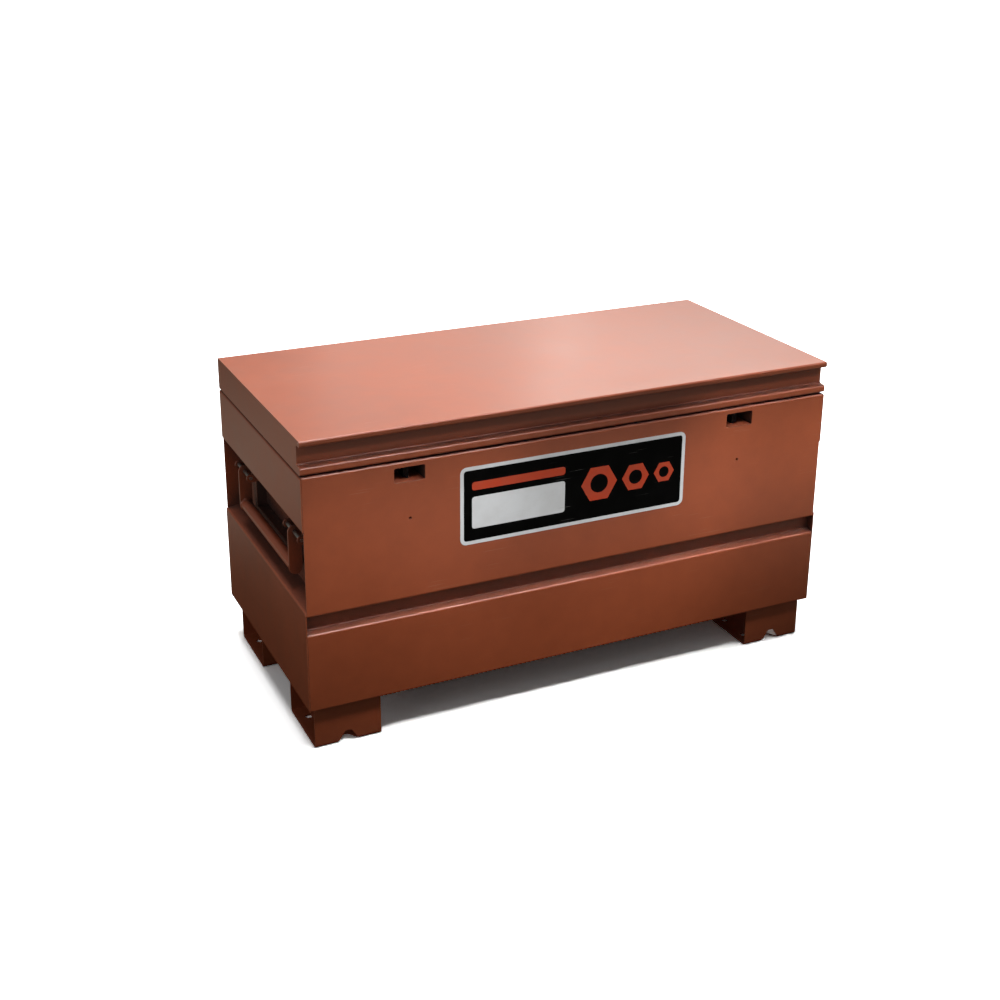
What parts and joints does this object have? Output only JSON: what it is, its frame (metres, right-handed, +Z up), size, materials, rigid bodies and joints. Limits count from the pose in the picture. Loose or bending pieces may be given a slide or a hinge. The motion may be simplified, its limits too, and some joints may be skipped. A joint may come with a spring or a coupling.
{
  "type": "jobsite storage box",
  "caption": "Folded steel jobsite chest on channel feet, with a hinged lid on slotted stays, recessed padlock openings, a front groove and a drop handle in each end.",
  "frame": {"origin": "on the floor, under the middle of the box's outline", "axes": "+X along the width to the right, -Y to the front, +Z up"},
  "size_m": [1.2192, 0.59, 0.6775],
  "materials": {
    "shell_paint": "satin copper-brown powder coat",
    "foot_paint": "darker satin powder coat",
    "handle_paint": "satin powder coat, worn at the edges",
    "zinc_plate": "bright zinc plate",
    "plain_steel": "dull plated steel",
    "label_print": "printed vinyl, black with pale and orange-red marks",
    "black_rubber": "matte"
  },
  "bodies": {
    "chest": {"front_panel": "shell_paint", "rear_panel": "shell_paint", "left_end_panel": "shell_paint", "right_end_panel": "shell_paint", "floor_panel": "shell_paint", "hinge_body_leaf": "shell_paint", "hinge_pin": "zinc_plate", "front_label": "label_print", "lid_bumpers": "black_rubber", "left_hand_pocket": "shell_paint", "left_lock_housing": "shell_paint", "left_lock_staple": "plain_steel", "left_handle_lugs": "handle_paint", "left_handle_pins": "zinc_plate", "left_stay_stud": "zinc_plate", "front_left_foot": "foot_paint", "rear_left_foot": "foot_paint", "right_hand_pocket": "shell_paint", "right_lock_housing": "shell_paint", "right_lock_staple": "plain_steel", "right_handle_lugs": "handle_paint", "right_handle_pins": "zinc_plate", "right_stay_stud": "zinc_plate", "front_right_foot": "foot_paint", "rear_right_foot": "foot_paint"},
    "lid": {"lid_skin": "shell_paint", "hinge_lid_leaf": "shell_paint", "left_lid_rib": "shell_paint", "middle_lid_rib": "shell_paint", "right_lid_rib": "shell_paint", "left_lid_end": "shell_paint", "left_hasp_tongue": "plain_steel", "left_stay_bracket": "shell_paint", "left_stay_pin": "zinc_plate", "right_lid_end": "shell_paint", "right_hasp_tongue": "plain_steel", "right_stay_bracket": "shell_paint", "right_stay_pin": "zinc_plate"},
    "left_stay": {"left_stay": "zinc_plate"},
    "left_handle": {"left_handle_tube": "handle_paint", "left_handle_arms": "handle_paint"},
    "right_stay": {"right_stay": "zinc_plate"},
    "right_handle": {"right_handle_tube": "handle_paint", "right_handle_arms": "handle_paint"}
  },
  "joints": [
    {"name": "lid_hinge", "type": "hinge", "parent": "chest", "child": "lid", "pos_m": [0, 0.29, 0.605], "axis": [-1, 0, 0], "range_deg": [0, 95]},
    {"name": "left_stay_pivot", "type": "hinge", "parent": "lid", "child": "left_stay", "pos_m": [-0.5381, 0.09195, 0.63284], "axis": [1, 0, 0], "range_deg": [0, 47.5]},
    {"name": "left_handle_swing", "type": "hinge", "parent": "chest", "child": "left_handle", "pos_m": [-0.5916, -0.004, 0.445], "axis": [0, 1, 0], "range_deg": [0, 90]},
    {"name": "right_stay_pivot", "type": "hinge", "parent": "lid", "child": "right_stay", "pos_m": [0.5381, 0.09195, 0.63284], "axis": [1, 0, 0], "range_deg": [0, 47.5]},
    {"name": "right_handle_swing", "type": "hinge", "parent": "chest", "child": "right_handle", "pos_m": [0.5916, -0.004, 0.445], "axis": [0, -1, 0], "range_deg": [0, 90]}
  ],
  "couplings": [
    {"joint": "left_stay_pivot", "follows": "lid_hinge", "ratio": 0.5},
    {"joint": "right_stay_pivot", "follows": "lid_hinge", "ratio": 0.5}
  ]
}
